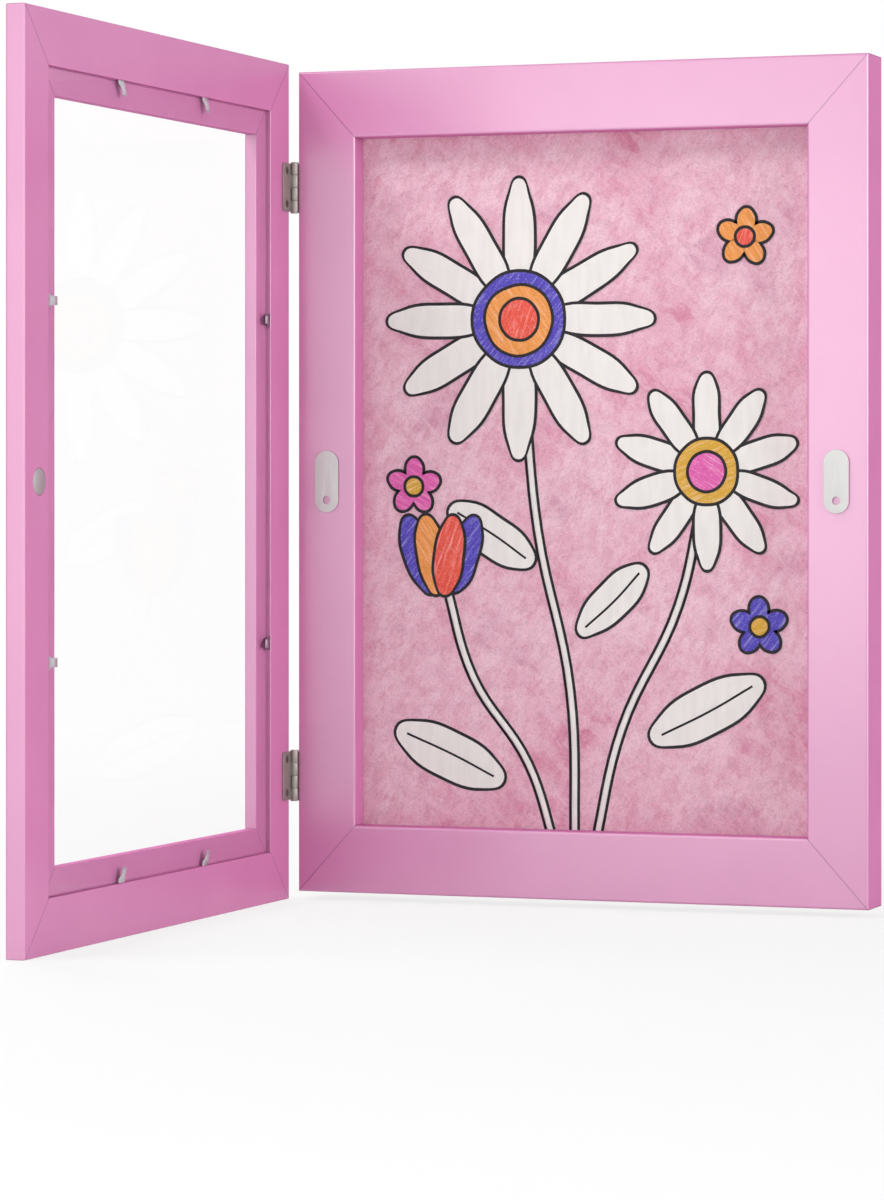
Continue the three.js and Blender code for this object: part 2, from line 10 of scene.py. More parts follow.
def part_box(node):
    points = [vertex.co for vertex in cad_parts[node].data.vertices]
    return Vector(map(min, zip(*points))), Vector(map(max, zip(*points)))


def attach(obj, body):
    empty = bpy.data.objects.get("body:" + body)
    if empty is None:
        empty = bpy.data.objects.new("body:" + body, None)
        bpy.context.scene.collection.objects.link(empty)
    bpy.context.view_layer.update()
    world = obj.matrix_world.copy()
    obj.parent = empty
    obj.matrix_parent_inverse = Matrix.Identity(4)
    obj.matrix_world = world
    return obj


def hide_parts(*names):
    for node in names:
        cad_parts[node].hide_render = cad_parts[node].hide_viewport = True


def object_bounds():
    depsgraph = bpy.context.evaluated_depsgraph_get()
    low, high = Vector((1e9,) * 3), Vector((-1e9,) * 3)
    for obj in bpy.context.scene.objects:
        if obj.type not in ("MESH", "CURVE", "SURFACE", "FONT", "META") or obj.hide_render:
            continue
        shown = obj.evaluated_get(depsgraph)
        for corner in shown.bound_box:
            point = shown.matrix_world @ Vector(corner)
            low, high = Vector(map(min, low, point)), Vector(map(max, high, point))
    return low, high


bl_info = {
    "name": "Front-opening art frame",
    "version": (1, 0, 0),
    "blender": (4, 5, 0),
    "location": "3D View > Sidebar > Art Frame",
    "description": "Dresses the art frame with its finishes, drawing, fittings and studio",
    "category": "Object",
}

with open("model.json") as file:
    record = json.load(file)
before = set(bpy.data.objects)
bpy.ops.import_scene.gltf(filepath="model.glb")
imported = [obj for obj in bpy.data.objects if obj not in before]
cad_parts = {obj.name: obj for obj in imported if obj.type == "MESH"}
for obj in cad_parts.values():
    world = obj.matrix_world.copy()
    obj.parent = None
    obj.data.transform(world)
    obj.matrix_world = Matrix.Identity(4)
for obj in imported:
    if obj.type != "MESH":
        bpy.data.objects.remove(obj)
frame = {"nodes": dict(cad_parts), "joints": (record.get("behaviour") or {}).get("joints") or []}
CAD_LOW, CAD_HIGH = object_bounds()
MM = 0.001
HINGE_AXIS = Vector(frame["joints"][0]["pos_m"])
BODIES = ("frame", "door")
RIGHT_ANGLE = math.radians(90)
SHARP = math.radians(50)  # an edge that bends by more than this gets rounded
NEAR = 0.01 * MM  # how far off a plane a vertex on it may be
MERGE = 0.001 * MM  # vertices closer than this are one
FLAT = 1.0  # a pattern's size through a thin sheet, in metres, so that it hardly changes there
SENSOR = 36  # the camera's sensor width in millimetres
PICTURE_WIDTH, PICTURE_HEIGHT = 884, 1200
SIGHT_X, SIGHT_Y = 527.97, 481.6  # the pixel that the camera's axis meets


def linear(hex_colour):
    """An sRGB hex colour as linear red, green, blue."""
    parts = [int(hex_colour[i : i + 2], 16) / 255 for i in (1, 3, 5)]
    return tuple(c / 12.92 if c <= 0.04045 else ((c + 0.055) / 1.055) ** 2.4 for c in parts)


def number(label, description, value, **more):
    """A number that a user can change."""
    return bpy.props.FloatProperty(name=label, description=description, default=value, min=0.0, **more)


def length(label, description, millimetres):
    """A length that a user can change."""
    return number(label, description, millimetres * MM, unit="LENGTH", precision=5)


def share(label, description, value):
    """A share from 0 to 1 that a user can change."""
    return number(label, description, value, max=1.0, subtype="FACTOR")


def power(label, description, watts):
    """A lamp's power that a user can change."""
    return number(label, description, watts, unit="POWER")


def colour(label, description, hex_colour):
    """A colour that a user can change."""
    shade = linear(hex_colour)
    return bpy.props.FloatVectorProperty(
        name=label, description=description, default=shade, min=0.0, max=1.0, size=3, subtype="COLOR"
    )


class PaintSettings(bpy.types.PropertyGroup):
    """The sprayed paint of the mouldings."""

    pink: colour("Pink", "Colour where the coat is normal", "#D887B8")
    deep: colour("Deep pink", "Colour where the coat lies thicker", "#D482B4")
    seam: colour("Seam", "Colour where the coat sinks in along a mitre", "#B06793")
    seam_half: length("Seam half width", "Half the width of the line along a mitre", 0.2)
    roughness: share("Roughness", "Roughness of the satin coat", 0.295)
    uneven: share("Unevenness", "How far the roughness strays to either side", 0.008)
    ior: number("IOR", "IOR of the coat", 1.6)
    shine: number("Head-on shine", "Specular level where the coat is seen head-on", 1.4)
    shine_full: share("Full shine", "Facing value up to which the shine is full", 0.1)
    shine_gone: share("No shine", "Facing value from which the shine is gone", 0.65)
    cloud: length("Cloud size", "Size of the soft clouds in the coat", 38)
    speckle: length("Speckle size", "Size of the duller and glossier specks", 5)
    peel: length("Orange peel size", "Size of the faint dimples that spraying leaves", 1.6)
    peel_depth: length("Orange peel depth", "Depth of these dimples", 0.004)


class SheetSettings(bpy.types.PropertyGroup):
    """The displayed sheet and its watercolour wash."""

    light: colour("Light wash", "Colour where the wash is thin", "#F6CFDC")
    middle: colour("Middle wash", "Colour of most of the wash", "#ECB3C7")
    strong: colour("Strong wash", "Colour where strokes overlap", "#DA84A1")
    lilac: colour("Lilac wash", "Cooler colour in places", "#E1AEC1")
    pool: length("Pool size", "Size of the pools in which the wash dries", 45)
    tooth: length("Tooth", "Size of the grain of the paper", 0.7)
    tooth_depth: length("Tooth depth", "Depth of the grain of the paper", 0.03)
    thickness: length("Thickness", "Thickness of the sheet", 0.24)
    cockle: length("Cockle", "Height of the waves that water leaves in the sheet", 0.03)
    cockle_size: length("Cockle size", "Size of these waves", 40)
    cell: length("Mesh cell", "Size of one cell of the sheet's mesh", 3)


class DrawingSettings(bpy.types.PropertyGroup):
    """The flowers drawn on the sheet."""

    ink: length("Ink width", "Width of the black outlines", 1.3)
    wobble: length("Wobble", "How far a hand-drawn outline strays", 0.7)
    coat: length("Coat", "Thickness of one coat of colour", 0.022)
    brush_width: length("Brush mark width", "Width of a brush mark in the gouache", 3)
    brush_length: length("Brush mark length", "Length of a brush mark in the gouache", 18)
    pencil_width: length("Pencil line width", "Width of a line of pencil hatching", 1.1)
    pencil_length: length("Pencil line length", "Length of a line of pencil hatching", 14)
    paper_white: colour("White", "Opaque white", "#F3F0EC")
    black: colour("Black", "Black marker", "#19161A")
    violet: colour("Violet", "Violet pencil", "#5548BC")
    orange: colour("Orange", "Orange pencil", "#F09C4C")
    red: colour("Red", "Red pencil", "#EE5B49")
    rose: colour("Rose", "Rose pencil", "#E565B2")
    ochre: colour("Ochre", "Ochre pencil", "#DDAA3A")


class FittingSettings(bpy.types.PropertyGroup):
    """Hinges, plates, magnet and points."""

    leaf_thickness: length("Leaf thickness", "Thickness of the hinge's sheet metal", 0.8)
    leaf_root: length("Leaf root", "From the axis to where the knuckles leave the leaf", 1.55)
    leaf_reach: length("Leaf reach", "From the axis to the leaf's free edge", 9.2)
    leaf_height: length("Leaf height", "Height of a hinge leaf", 19.9)
    leaf_corner: length("Leaf corner", "Radius of the leaf's corners", 1.5)
    leaf_edge: length("Leaf edge", "Rounding of a leaf's edges", 0.1)
    leaf_clear: length("Leaf clearance", "From the knuckles' middle line to the leaf's", 0.1)
    barrel_radius: length("Barrel radius", "Radius of the rolled knuckles", 1.7)
    barrel_height: length("Barrel height", "Height of the four knuckles together", 21.2)
    knuckle_gap: length("Knuckle gap", "Gap between two knuckles", 0.1)
    screw_reach: length("Screw reach", "From the axis to the screws", 5.4)
    screw_spacing: length("Screw spacing", "Between the two screws of a leaf", 13.7)
    screw_head: length("Countersink radius", "Radius of the countersunk hole", 1.75)
    screw_slope: length("Countersink slope", "How much narrower the hole is at its bottom", 1.15)
    screw_depth: length("Countersink depth", "Depth of the cutter for the hole", 1.2)
    cutter_over: length("Cutter over", "How much wider the cutter is at its top than the hole", 0.2)
    point_width: length("Point width", "Width of a glazing point in the wood", 5.4)
    point_tip: length("Point tip", "Width of a glazing point's tip", 3.35)
    point_thickness: length("Point thickness", "Thickness of a glazing point", 0.4)
    point_edge: length("Point edge", "Rounding of a glazing point's edges", 0.08)
    point_corner: length("Point corner", "How much of each corner is cut off in the wood", 1.89)
    point_embed: length("Point depth", "How deep a point sits in the wood", 4)
    point_straight: length("Point root", "From the wood to the bend", 1.4)
    point_reach: length("Point reach", "From the wood to the tip", 6)
    point_rise: length("Point rise", "How far the tip is bent up", 1.2)
    plate_edge: length("Plate edge", "Rounding of a strike plate's edge", 0.22)
    plate_hole: length("Plate hole", "Radius of the hole in a strike plate", 1.65)
    plate_drop: length("Plate hole drop", "From the plate's middle down to its hole", 7.6)
    magnet_edge: length("Magnet edge", "Chamfer of the magnet", 0.3)


class StudioSettings(bpy.types.PropertyGroup):
    """Camera, floor and lamps."""

    lens: number("Lens", "Focal length on a 36 mm sensor", 129.567, unit="CAMERA")
    heading: number(
        "Heading", "How far the camera is turned to the left", math.radians(19.57), subtype="ANGLE"
    )
    camera_right: length("Camera right", "How far right of the middle the camera is", 565.1)
    camera_front: length("Camera front", "How far in front of the wood the camera is", 1668.9)
    aim_front: length("Aim", "How far in front of the wood the lamps aim", 80)
    floor_radius: length("Floor radius", "Radius of the pale floor", 6000)
    floor_gap: length("Floor gap", "Gap between the object and the floor", 0.1)
    front: power("Front softbox", "Power of the small softbox in front", 0.7)
    left: power("Left softbox", "Power of the softbox that the front faces mirror", 1.78)
    right: power("Right softbox", "Power of the softbox at the right", 20.5)
    top: power("Top softbox", "Power of the softbox overhead", 14)
    back: power("Back softbox", "Power of the softbox behind, for views from there", 28)
    ambient: share("Ambient", "White light from all around", 0.27)


SETTINGS = {
    "art_frame_paint": PaintSettings,
    "art_frame_sheet": SheetSettings,
    "art_frame_drawing": DrawingSettings,
    "art_frame_fittings": FittingSettings,
    "art_frame_studio": StudioSettings,
}


# Work on objects


def select_only(*objects):
    """Selects these objects alone and makes the first one active."""
    if bpy.context.mode != "OBJECT":
        bpy.ops.object.mode_set(mode="OBJECT")
    bpy.ops.object.select_all(action="DESELECT")
    for item in objects:
        item.select_set(True)
    bpy.context.view_layer.objects.active = objects[0]


def apply_place(item):
    """Moves an object's place, turn and size into its mesh."""
    select_only(item)
    bpy.ops.object.transform_apply(location=True, rotation=True, scale=True)
    return item


def primitive(kind, scale=(1, 1, 1), **settings):
    """Adds a primitive with nothing else selected, and applies its place, turn and size."""
    bpy.ops.object.select_all(action="DESELECT")
    getattr(bpy.ops.mesh, f"primitive_{kind}_add")(**settings)
    item = bpy.context.active_object
    item.scale = scale
    return apply_place(item)


def placed_copy(item, matrix):
    """A copy with a mesh of its own, put at a matrix."""
    twin = item.copy()
    twin.data = item.data.copy()
    bpy.context.scene.collection.objects.link(twin)
    twin.matrix_world = matrix
    return apply_place(twin)


def open_mesh(item):
    """Opens one mesh in edit mode with nothing selected."""
    select_only(item)
    bpy.ops.object.mode_set(mode="EDIT")
    bpy.ops.mesh.select_all(action="DESELECT")


def close_mesh():
    """Leaves edit mode."""
    bpy.ops.object.mode_set(mode="OBJECT")


def pick(kind, test):
    """Selects the vertices, edges or faces of the open mesh whose middle passes the test."""
    mesh = bpy.context.active_object.data
    bpy.ops.mesh.select_mode(type=kind)
    bpy.ops.mesh.select_all(action="DESELECT")
    shell = bmesh.from_edit_mesh(mesh)
    for part in {"VERT": shell.verts, "EDGE": shell.edges, "FACE": shell.faces}[kind]:
        corners = [part.co] if kind == "VERT" else [vertex.co for vertex in part.verts]
        if test(sum(corners, Vector()) / len(corners)):
            part.select_set(True)
    bmesh.update_edit_mesh(mesh)


def clean_shell(item):
    """Merges doubled vertices and turns the faces outwards."""
    open_mesh(item)
    bpy.ops.mesh.select_all(action="SELECT")
    bpy.ops.mesh.remove_doubles(threshold=MERGE)
    bpy.ops.mesh.normals_make_consistent(inside=False)
    close_mesh()


def add_modifier(item, kind, **settings):
    """Adds one modifier and applies it."""
    select_only(item)
    modifier = item.modifiers.new(kind.title(), kind)
    for name, value in settings.items():
        setattr(modifier, name, value)
    bpy.ops.object.modifier_apply(modifier=modifier.name)


def drill_out(item, drill):
    """Takes the shape of a drill out of a piece, and the drill away."""
    add_modifier(item, "BOOLEAN", object=drill, operation="DIFFERENCE", solver="EXACT")
    bpy.data.objects.remove(drill)


def smooth(item, degrees=32):
    """Shades the curved faces smooth and keeps the edges sharp."""
    select_only(item)
    bpy.ops.object.shade_smooth_by_angle(angle=math.radians(degrees))


def round_edges(item, width, segments=2):
    """Rounds the sharp edges and shades the piece smooth."""
    add_modifier(item, "BEVEL", width=width, segments=segments, limit_method="ANGLE", angle_limit=SHARP)
    smooth(item)


def finish_piece(item, name, body, slot, material, *nodes):
    """Names a piece, gives it its material and body, and hides the nodes that it stands for."""
    item.name = name
    item.data.name = name
    item.data.materials.clear()
    item.data.materials.append(material)
    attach(item, body)
    if nodes:
        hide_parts(*nodes)


def finish_nodes(material, names):
    """Gives CAD nodes their material."""
    for name in names:
        for slot in frame["nodes"][name].material_slots:
            slot.material = material


def middle(node):
    """The middle of a CAD node's box."""
    low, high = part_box(node)
    return (low + high) / 2


def extent(node, axis):
    """The size of a CAD node's box along an axis."""
    low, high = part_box(node)
    return high[axis] - low[axis]


# Materials. A noise's scale is one over the real size of its features in metres.


def add_node(owner, kind, sockets=(), stops=(), **settings):
    """Adds a node with its settings, its values or links by name or in order, and a ramp's stops.

    A node that is given as a value stands for its first output in use.
    """
    tree = owner.node_tree
    node = tree.nodes.new(f"ShaderNode{kind}")
    for name, value in settings.items():
        setattr(node, name, value)
    for key, value in sockets.items() if isinstance(sockets, dict) else enumerate(sockets):
        if isinstance(value, bpy.types.Node):
            value = next(output for output in value.outputs if output.enabled)
        if isinstance(value, bpy.types.NodeSocket):
            tree.links.new(value, node.inputs[key])
        else:
            node.inputs[key].default_value = value
    if stops:
        ramp = node.color_ramp
        while len(ramp.elements) < len(stops):
            ramp.elements.new(0.5)
        for element, (position, shade) in zip(ramp.elements, stops):
            element.position = position
            element.color = (*shade, 1)
    return node


def new_material(name):
    """An empty material, and the place on the piece that its patterns read."""
    material = bpy.data.materials.new(name)
    material.use_nodes = True
    material.node_tree.nodes.clear()
    return material, add_node(material, "TexCoord").outputs["Object"]


def surfaced(material, shade, roughness, relief=None, more=None):
    """Ends a material with its surface and its relief: a pattern, its strength and its depth."""
    sockets = {"Base Color": shade, "Roughness": roughness, **(more or {})}
    if relief:
        height, strength, depth = relief
        relief_sockets = {"Height": height, "Strength": strength, "Distance": depth}
        sockets["Normal"] = add_node(material, "Bump", relief_sockets)
    add_node(material, "OutputMaterial", {"Surface": add_node(material, "BsdfPrincipled", sockets)})
    return material


def streaks(material, place, size, turn=0, start=(0, 0, 0), **noise):
    """A noise stretched to features of this size across, deep and up, and turned by degrees."""
    stretch = add_node(
        material,
        "Mapping",
        {"Vector": place, "Location": start, "Rotation": (0, math.radians(turn), 0), "Scale": size},
        vector_type="TEXTURE",
    )
    return add_node(material, "TexNoise", {"Vector": stretch, "Scale": 1, **noise})


def share_from_edge(material, coordinate, nodes, axis, width):
    """How far in from the outer edge a point is, as a share of the member's width."""
    ends = [corner[axis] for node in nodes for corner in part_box(node)]
    low, high = min(ends), max(ends)
    beside = add_node(material, "Math", (coordinate, (low + high) / 2), operation="SUBTRACT")
    off = add_node(material, "Math", (beside,), operation="ABSOLUTE")
    half = (high - low) / 2
    return add_node(material, "Math", (off, -1 / width, half / width), operation="MULTIPLY_ADD")


def mitre_seams(material, place, nodes, axis, half_width):
    """1 on the mitre seams of a frame of four members, and 0 beside them.

    A seam runs from the outer corner to the inner one, so it is where a point lies as far in
    from the rail's edge as from the stile's, each as a share of that member's width. The nodes
    are the top rail, the bottom rail and the two stiles, and the axis is the one across. The
    line is full up to half of its half width, and gone at one and a half.
    """
    rail, stile = extent(nodes[0], 2), extent(nodes[2], axis)
    parts = add_node(material, "SeparateXYZ", (place,)).outputs
    across = share_from_edge(material, parts[axis], nodes, axis, stile)
    up = share_from_edge(material, parts[2], nodes, 2, rail)
    gap = add_node(material, "Math", (across, up), operation="SUBTRACT")
    apart = add_node(material, "Math", (gap,), operation="ABSOLUTE")
    edge = half_width * math.hypot(rail, stile) / (rail * stile)
    return add_node(material, "MapRange", (apart, 0.5 * edge, 1.5 * edge, 1.0, 0.0))


def satin_paint(body, nodes, axis):
    """Satin acrylic lacquer sprayed on fibreboard.

    An even pink with a soft sheen, slightly deeper where the coat lies thicker, and a faint
    orange peel. The dimples of a real coat are about 1 mm and hardly show, so they are drawn
    somewhat coarser. The IOR is a little above lacquer's 1.5 and the shine head-on is
    strengthened, because the front faces mirror a softbox so plainly. At a shallow angle,
    where a white studio would bleach the sides, the shine is held back. The coat sinks in a
    little along the mitres, which gives them a fine darker line.
    """
    look = bpy.context.scene.art_frame_paint
    paint, place = new_material(f"satin_pink_lacquer_{body}")
    cloud = add_node(paint, "TexNoise", {"Vector": place, "Scale": 1 / look.cloud, "Detail": 3})
    coat = add_node(paint, "ValToRGB", (cloud,), [(0.3, look.deep), (0.7, look.pink)])
    seam = mitre_seams(paint, place, nodes, axis, look.seam_half)
    seamed = add_node(paint, "Mix", {0: seam, 6: coat, 7: (*look.seam, 1)}, data_type="RGBA")
    speckle = add_node(
        paint, "TexNoise", {"Vector": place, "Scale": 1 / look.speckle, "Detail": 4, "Roughness": 0.6}
    )
    glossiest, dullest = look.roughness - look.uneven, look.roughness + look.uneven
    sheen = add_node(paint, "MapRange", (speckle, 0.3, 0.7, glossiest, dullest))
    peel = add_node(
        paint, "TexNoise", {"Vector": place, "Scale": 1 / look.peel, "Detail": 1, "Roughness": 0.4}
    )
    facing = add_node(paint, "LayerWeight", {"Blend": 0.5}).outputs["Facing"]
    gloss = add_node(paint, "MapRange", (facing, look.shine_full, look.shine_gone, look.shine, 0.0))
    more = {"IOR": look.ior, "Specular IOR Level": gloss}
    return surfaced(paint, seamed, sheen, (peel, 0.6, look.peel_depth), more)


def watercolour_paper():
    """Watercolour on cold-pressed paper.

    Overlapping strokes of thin pink wash, 7 to 19 mm long, that dry darker where they meet,
    with cooler patches. The pigment settles in the paper's tooth. Each stroke layer has its
    width and length in millimetres, its turn in degrees, where it starts, its colour and its
    strength.
    """
    look = bpy.context.scene.art_frame_sheet
    paper, place = new_material("watercolour_on_paper")
    pools = add_node(
        paper, "TexNoise", {"Vector": place, "Scale": 1 / look.pool, "Detail": 4, "Distortion": 0.8}
    )
    dried = (look.strong, look.middle, look.light, look.lilac, look.middle)
    layers = add_node(paper, "ValToRGB", (pools,), [*zip((0.24, 0.42, 0.56, 0.66, 0.78), dried)])
    fade = 0.09
    for across, along, turn, edge, shade, strength in (
        (5, 15, 18, 0.47, look.strong, 0.28),
        (7, 19, -52, 0.47, look.light, 0.45),
        (4, 12, 74, 0.50, look.lilac, 0.30),
        (6, 10, -20, 0.53, look.middle, 0.42),
        (3, 9, 40, 0.54, look.strong, 0.26),
        (2, 7, -35, 0.55, look.light, 0.34),
    ):
        size = (across * MM, FLAT, along * MM)
        stroke = streaks(paper, place, size, turn, (across, 0, turn), Detail=3, Roughness=0.62)
        cover = add_node(
            paper, "MapRange", (stroke, edge, edge + fade, 0, strength), interpolation_type="SMOOTHSTEP"
        )
        layers = add_node(paper, "Mix", {0: cover, 6: layers, 7: (*shade, 1)}, data_type="RGBA")
    tooth = add_node(
        paper, "TexNoise", {"Vector": place, "Scale": 1 / look.tooth, "Detail": 2, "Roughness": 0.7}
    )
    grain = add_node(paper, "ValToRGB", (tooth,), [(0.34, (0.80, 0.74, 0.77)), (0.54, (1, 1, 1))])
    painted = add_node(
        paper, "Mix", {0: 0.8, 6: layers, 7: grain}, data_type="RGBA", blend_type="MULTIPLY"
    )
    relief = (tooth, 0.5, look.tooth_depth)
    return surfaced(paper, painted, 0.92, relief, {"Specular IOR Level": 0.25})


def gouache():
    """Opaque white gouache: chalky, with faint brush marks and the paper's tooth.

    The thick coat softens the tooth, which is a little coarser and shallower in it.
    """
    look = bpy.context.scene.art_frame_drawing
    tooth_size, tooth_depth = 0.9 * MM, 0.02 * MM
    white, place = new_material("white_gouache")
    brush = streaks(white, place, (look.brush_width, FLAT, look.brush_length), Detail=3)
    thin = [0.93 * c for c in look.paper_white]
    shade = add_node(white, "ValToRGB", (brush,), [(0.3, thin), (0.65, look.paper_white)])
    tooth = add_node(white, "TexNoise", {"Vector": place, "Scale": 1 / tooth_size, "Detail": 2})
    return surfaced(white, shade, 0.85, (tooth, 0.4, tooth_depth), {"Specular IOR Level": 0.25})


def marker_ink():
    """Black marker: dense, a little greyer where the pen moved fast, with a slight shine."""
    look = bpy.context.scene.art_frame_drawing
    pen_stretch = 6 * MM
    ink, place = new_material("black_marker")
    flow = add_node(ink, "TexNoise", {"Vector": place, "Scale": 1 / pen_stretch, "Detail": 3})
    fast = [2.2 * c for c in look.black]
    shade = add_node(ink, "ValToRGB", (flow,), [(0.4, look.black), (0.8, fast)])
    return surfaced(ink, shade, 0.6, more={"Specular IOR Level": 0.3})


def coloured_pencil(name, shade, turn):
    """Coloured pencil over white: waxy hatching in one direction that skips the paper's hollows."""
    look = bpy.context.scene.art_frame_drawing
    paper_tooth = bpy.context.scene.art_frame_sheet.tooth
    wax, place = new_material(name)
    size = (look.pencil_width, FLAT, look.pencil_length)
    hatch = streaks(wax, place, size, turn, Detail=3, Roughness=0.7)
    pale = [0.62 * c + 0.38 for c in shade]
    deep = [0.82 * c for c in shade]
    lines = add_node(wax, "ValToRGB", (hatch,), [(0.30, deep), (0.52, shade), (0.74, pale)])
    tooth = add_node(wax, "TexNoise", {"Vector": place, "Scale": 1 / paper_tooth, "Detail": 2})
    skips = add_node(wax, "MapRange", (tooth, 0.56, 0.72, 0.0, 0.55))
    waxed = add_node(wax, "Mix", {0: skips, 6: lines, 7: (*pale, 1)}, data_type="RGBA")
    return surfaced(wax, waxed, 0.7, more={"Specular IOR Level": 0.3})


def sheet_metal(name, pale, dark, roughness, grain, axis, metallic=1.0):
    """Bare or plated sheet metal with the fine lines that rolling or brushing leaves.

    The lines run along one axis. They are some hundredths of a millimetre wide and too fine to
    show, so they are drawn as coarse as the grain that is given, and 30 times as long.
    """
    line_depth = 0.01 * MM
    metal, place = new_material(name)
    size = [grain] * 3
    size[axis] = 30 * grain
    lines = streaks(metal, place, size, Detail=2)
    tint = add_node(metal, "ValToRGB", (lines,), [(0.35, linear(dark)), (0.65, linear(pale))])
    rub = add_node(metal, "MapRange", (lines, 0.3, 0.7, roughness - 0.06, roughness + 0.08))
    return surfaced(metal, tint, rub, (lines, 0.3, line_depth), {"Metallic": metallic})


def clear_acrylic():
    """Clear cast acrylic: colourless and flat, with a trace of fine dust in the gloss.

    Acrylic's IOR is 1.49. It is lowered here, because the photograph shows no mirror image of
    the drawing or the studio in the pane.
    """
    dust_size = 30 * MM
    acrylic, place = new_material("clear_acrylic")
    dust = add_node(acrylic, "TexNoise", {"Vector": place, "Scale": 1 / dust_size, "Detail": 4})
    gloss = add_node(acrylic, "MapRange", (dust, 0.4, 0.8, 0.0, 0.03))
    clear = {"IOR": 1.08, "Transmission Weight": 1.0}
    return surfaced(acrylic, (1, 1, 1, 1), gloss, more=clear)


def hardboard():
    """Hardboard: pressed wood fibre, warm brown and smooth, with dark and pale flecks of fibre."""
    mottle_size, fibre_depth = 22 * MM, 0.03 * MM
    fleck_size = (1.2 * MM, 1.2 * MM, 4 * MM)
    board, place = new_material("smooth_hardboard")
    mottle = add_node(board, "TexNoise", {"Vector": place, "Scale": 1 / mottle_size, "Detail": 4})
    browns = [(0.3, linear("#8C6542")), (0.7, linear("#A57B52"))]
    base = add_node(board, "ValToRGB", (mottle,), browns)
    fibre = streaks(board, place, fleck_size, Detail=3, Distortion=1.5)
    flecks = [(0.3, (0.55, 0.5, 0.45)), (0.5, (1, 1, 1)), (0.72, (1.25, 1.2, 1.1))]
    fleck = add_node(board, "ValToRGB", (fibre,), flecks)
    pressed = add_node(
        board, "Mix", {0: 0.6, 6: base, 7: fleck}, data_type="RGBA", blend_type="MULTIPLY"
    )
    return surfaced(board, pressed, 0.62, (fibre, 0.3, fibre_depth))


def layered_stock(name, pale, dark, layer, roughness):
    """Paper, card or foam in layers: pale faces, and darker lines where layers meet at the edges."""
    layer_reach, fibre_size, fibre_depth = 60 * MM, 1.5 * MM, 0.02 * MM
    stock, place = new_material(name)
    edges = streaks(stock, place, (layer_reach, layer, layer_reach), Detail=1)
    fibre = add_node(stock, "TexNoise", {"Vector": place, "Scale": 1 / fibre_size, "Detail": 4})
    tint = add_node(stock, "ValToRGB", (edges,), [(0.42, linear(dark)), (0.56, linear(pale))])
    return surfaced(stock, tint, roughness, (fibre, 0.3, fibre_depth))


# The drawing, in millimetres from the middle of the sheet's opening, right and up

PETAL_SHARE = 0.775  # a petal's half width as a share of half the arc that it has on its ring
COAT_STEP = 1.5  # how far apart two coats lie, as a share of a coat's thickness
STRAY_SHARE = 0.05  # the most that an outline strays, as a share of its reach


